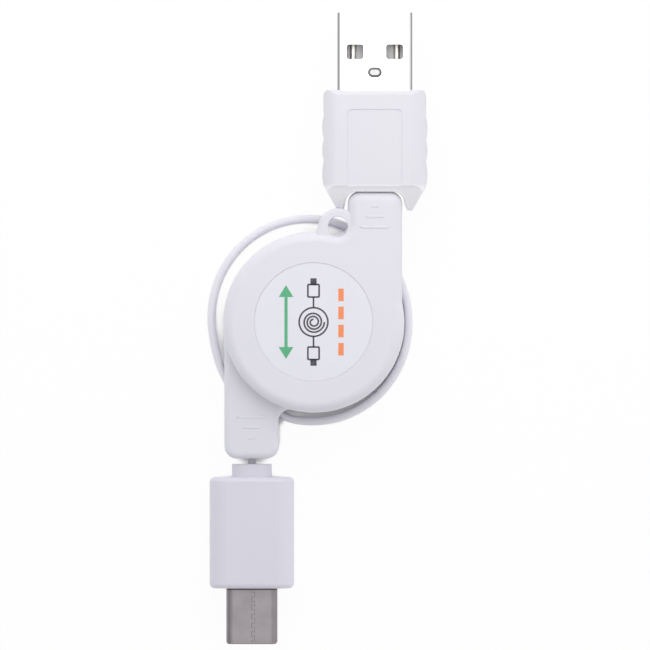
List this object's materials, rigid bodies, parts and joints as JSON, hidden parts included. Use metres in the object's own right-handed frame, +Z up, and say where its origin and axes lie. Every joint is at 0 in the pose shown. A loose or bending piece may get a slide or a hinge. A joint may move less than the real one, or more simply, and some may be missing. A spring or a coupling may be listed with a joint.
{
  "type": "retractable charging cable",
  "caption": "Round spring reel with two cord arms that winds a thin charging cord in from both ends, with a type A plug, a type C plug and a key eyelet.",
  "frame": {"origin": "on the reel's axis, at the flat lower face that the case rests on", "axes": "+Z up along the reel's axis, +Y along the pull towards the type A plug, +X towards the upper arm"},
  "size_m": [0.0356, 0.1014, 0.0115],
  "materials": {
    "case_plastic": "satin moulded white",
    "label_film": "printed matt film",
    "screw_steel": "plated",
    "drum_plastic": "moulded",
    "spring_steel": "blued strip",
    "cord_jacket": "soft white jacket",
    "plug_plastic": "satin moulded white",
    "plug_a_steel": "bright nickel plate",
    "plug_c_steel": "satin nickel plate",
    "insulator_plastic": "moulded white",
    "insulator_dark": "moulded black",
    "contact_gold": "gold flash"
  },
  "bodies": {
    "housing": {"upper_shell": "case_plastic", "lower_shell": "case_plastic", "label_disc": "label_film", "centre_screw": "screw_steel", "main_spring": "spring_steel", "cord_lead_a": "cord_jacket", "cord_loop": "cord_jacket"},
    "spool": {"drum": "drum_plastic", "spring_cover": "drum_plastic", "cord_coil_upper": "cord_jacket", "cord_coil_lower": "cord_jacket"},
    "lock": {"lock_ball": "screw_steel"},
    "plug_a": {"plug_a_overmould": "plug_plastic", "plug_a_shell": "plug_a_steel", "plug_a_insulator": "insulator_plastic", "plug_a_contacts": "contact_gold", "cord_stub_a": "cord_jacket"},
    "plug_c": {"plug_c_overmould": "plug_plastic", "plug_c_shell": "plug_c_steel", "plug_c_insulator": "insulator_dark", "plug_c_contacts_upper": "contact_gold", "plug_c_contacts_lower": "contact_gold", "plug_c_latches": "spring_steel", "cord_stub_c": "cord_jacket"}
  },
  "joints": [
    {"name": "spool_turn", "type": "hinge", "parent": "housing", "child": "spool", "pos_m": [0, 0, 0], "axis": [0, 0, 1], "range_deg": [0, 2520], "stiffness_Nm_per_rad": 0.0004, "springref_deg": -458.37, "deforming": ["main_spring"]},
    {"name": "plug_a_pull", "type": "slide", "parent": "housing", "child": "plug_a", "axis": [0, 1, 0], "range_m": [0, 0.401]},
    {"name": "plug_c_pull", "type": "slide", "parent": "housing", "child": "plug_c", "axis": [0, -1, 0], "range_m": [0, 0.401]},
    {"name": "lock_ball_shift", "type": "slide", "parent": "housing", "child": "lock", "axis": [0, 1, 0], "range_m": [0, 0.0009]}
  ],
  "couplings": [
    {"joint": "plug_a_pull", "follows": "spool_turn", "m_per_rad": 0.0091},
    {"joint": "plug_c_pull", "follows": "spool_turn", "m_per_rad": 0.0091}
  ]
}
